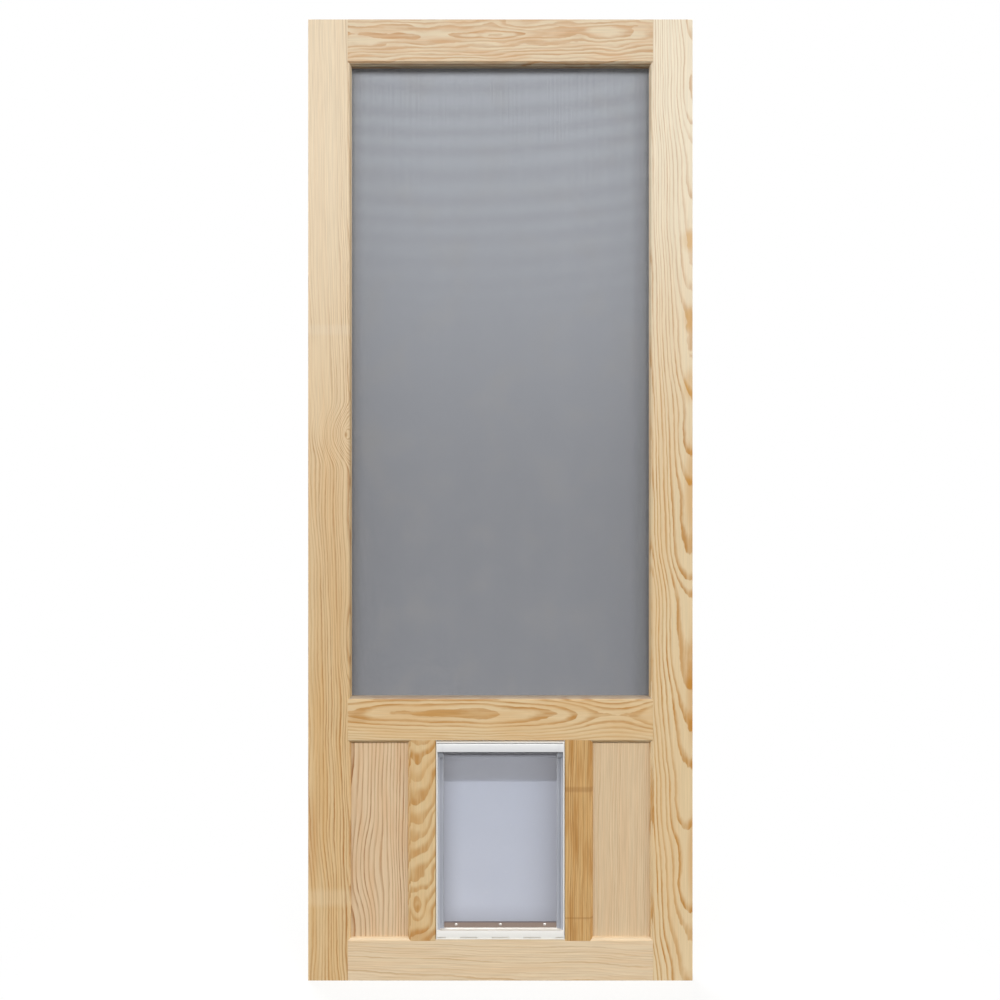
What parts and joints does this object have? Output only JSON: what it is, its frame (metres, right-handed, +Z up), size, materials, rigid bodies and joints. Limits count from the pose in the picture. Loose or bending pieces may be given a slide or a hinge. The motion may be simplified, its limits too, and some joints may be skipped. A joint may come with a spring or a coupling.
{
  "type": "wooden screen door with pet flap",
  "caption": "Pine stile-and-rail screen door: insect screen held by a pressed-in spline above, recessed panels below, and a swinging translucent pet flap in a white sleeve.",
  "frame": {"origin": "foot of the hinge edge, midway through the door's thickness", "axes": "+X from the hinge edge to the latch edge, +Y from the front to the rear, +Z up"},
  "size_m": [0.813, 0.0274, 2.032],
  "materials": {
    "pine": "bare planed",
    "panel_pine": "bare planed",
    "screen": "coated glass-fibre weave",
    "spline": "matt ribbed",
    "white_plastic": "satin",
    "grey_plastic": "satin",
    "rod_steel": "drawn",
    "clear_vinyl": "translucent",
    "grey_vinyl": "matt",
    "strip_metal": "matt brown",
    "rivet_metal": "bright"
  },
  "bodies": {
    "door_leaf": {"left_stile": "pine", "right_stile": "pine", "top_rail": "pine", "middle_rail": "pine", "bottom_rail": "pine", "left_mullion": "pine", "right_mullion": "pine", "left_panel": "panel_pine", "right_panel": "panel_pine", "screen_cloth": "screen", "spline_top": "spline", "spline_bottom": "spline", "spline_left": "spline", "spline_right": "spline", "pet_sleeve": "white_plastic", "sill": "white_plastic", "head_channel": "white_plastic", "left_track": "grey_plastic", "right_track": "grey_plastic", "left_hinge_block": "grey_plastic", "right_hinge_block": "grey_plastic"},
    "flap": {"hinge_rod": "rod_steel", "flap_sheet": "clear_vinyl", "flap_hinge_band": "grey_vinyl", "magnet_strip": "strip_metal", "strip_rivets": "rivet_metal"}
  },
  "joints": [
    {"name": "flap_swing", "type": "hinge", "parent": "door_leaf", "child": "flap", "pos_m": [0.4065, 0, 0.478], "axis": [1, 0, 0], "range_deg": [-90, 90]}
  ]
}
